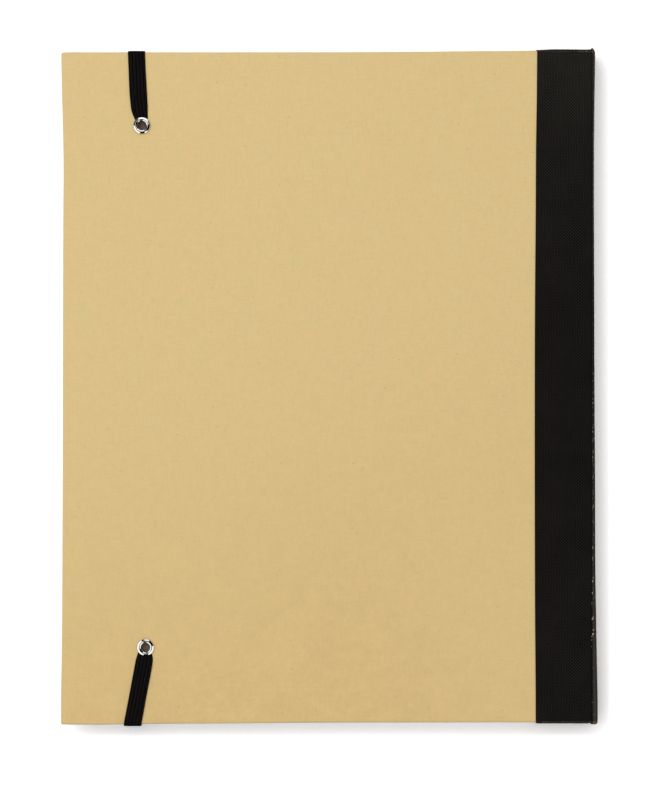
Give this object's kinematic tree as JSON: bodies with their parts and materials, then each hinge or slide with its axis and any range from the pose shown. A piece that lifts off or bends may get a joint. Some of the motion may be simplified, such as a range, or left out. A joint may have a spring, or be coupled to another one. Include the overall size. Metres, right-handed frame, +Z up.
{
  "type": "conference folder",
  "caption": "Kraft-covered conference folder with a black cloth spine, a flat elastic band held by metal eyelets, and a pad, pocket and pen loop inside.",
  "frame": {"origin": "middle of the bounding box in X and Y, at the underside of the elastic band that the closed folder lies on", "axes": "+Z up through the closed folder to the back cover, +X towards the spine, +Y towards the head"},
  "size_m": [0.2466, 0.312, 0.0184],
  "materials": {
    "kraft": "matte",
    "lining": "matte",
    "greyboard": "matte",
    "book_cloth": "matte",
    "elastic": "matte",
    "nickel": "polished",
    "paper": "matte"
  },
  "bodies": {
    "back_cover": {"back_board": "greyboard", "back_cover_paper": "kraft", "back_lining": "lining", "back_spine_cloth": "book_cloth", "back_hinge_cloth": "book_cloth", "head_eyelet": "nickel", "tail_eyelet": "nickel", "band_head_end": "elastic", "band_tail_end": "elastic", "pad_sleeve": "kraft", "pen_loop": "elastic"},
    "spine": {"spine_board": "greyboard", "spine_cloth": "book_cloth", "spine_lining": "book_cloth", "back_fold_cloth": "book_cloth", "front_fold_cloth": "book_cloth"},
    "front_cover": {"front_board": "greyboard", "front_cover_paper": "kraft", "front_lining": "lining", "front_spine_cloth": "book_cloth", "front_hinge_cloth": "book_cloth", "document_pocket": "kraft"},
    "band": {"band_front_run": "elastic"},
    "pad": {"pad_backing": "greyboard", "pad_sheets": "paper", "pad_binding_tape": "book_cloth"}
  },
  "joints": [
    {"name": "spine_fold", "type": "hinge", "parent": "back_cover", "child": "spine", "pos_m": [0.12005, 0, 0.01435], "axis": [0, -1, 0], "range_deg": [0, 90], "deforming": ["back_fold_cloth"]},
    {"name": "cover_fold", "type": "hinge", "parent": "spine", "child": "front_cover", "pos_m": [0.12005, 0, 0.00365], "axis": [0, -1, 0], "range_deg": [0, 90], "deforming": ["front_fold_cloth"]},
    {"name": "band_slip", "type": "slide", "parent": "back_cover", "child": "band", "axis": [-1, 0, 0], "range_m": [0, 0.046], "stiffness_N_per_m": 60, "deforming": ["band_head_end", "band_tail_end", "band_front_run"]},
    {"name": "pad_slide", "type": "slide", "parent": "back_cover", "child": "pad", "axis": [-1, 0, 0], "range_m": [0, 0.225]}
  ]
}
